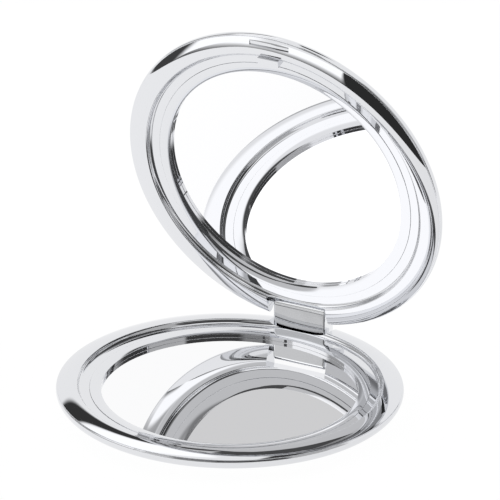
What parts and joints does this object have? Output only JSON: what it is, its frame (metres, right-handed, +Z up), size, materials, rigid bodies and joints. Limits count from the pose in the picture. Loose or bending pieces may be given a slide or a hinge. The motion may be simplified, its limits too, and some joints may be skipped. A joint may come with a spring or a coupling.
{
  "type": "compact mirror",
  "caption": "Round chromed pocket compact whose base and lid each hold a round mirror in a crowned bezel, joined by a hinge link with pins, with a catch at the front.",
  "frame": {"origin": "centre of the base's flat underside", "axes": "+Z up out of the base mirror, +Y from the catch towards the hinge, X along the hinge pins"},
  "size_m": [0.07, 0.0696, 0.0748],
  "materials": {
    "plated_shell": "bright chrome plating on a moulded shell",
    "plated_rim": "bright chrome plating on a moulded rim",
    "plated_bezel": "bright chrome plating on a moulded ring",
    "plated_link": "satin chrome plating on a moulded link",
    "silvered_glass": "clear glass silvered on its back",
    "foam_tape": "white double-sided foam tape",
    "pin_steel": "drawn steel pin"
  },
  "bodies": {
    "base": {"base_shell": "plated_shell", "base_rim": "plated_rim", "base_bezel": "plated_bezel", "base_mirror": "silvered_glass", "base_mirror_pad": "foam_tape", "base_hinge_pin": "pin_steel"},
    "link": {"hinge_link": "plated_link"},
    "lid": {"lid_shell": "plated_shell", "lid_rim": "plated_rim", "lid_bezel": "plated_bezel", "lid_mirror": "silvered_glass", "lid_mirror_pad": "foam_tape", "lid_hinge_pin": "pin_steel"}
  },
  "joints": [
    {"name": "base_pivot", "type": "hinge", "parent": "base", "child": "link", "pos_m": [0, 0.033, 0.00175], "axis": [-1, 0, 0], "range_deg": [0, 90]},
    {"name": "lid_pivot", "type": "hinge", "parent": "link", "child": "lid", "pos_m": [0, 0.033, 0.00875], "axis": [-1, 0, 0], "range_deg": [-78, 12]}
  ]
}
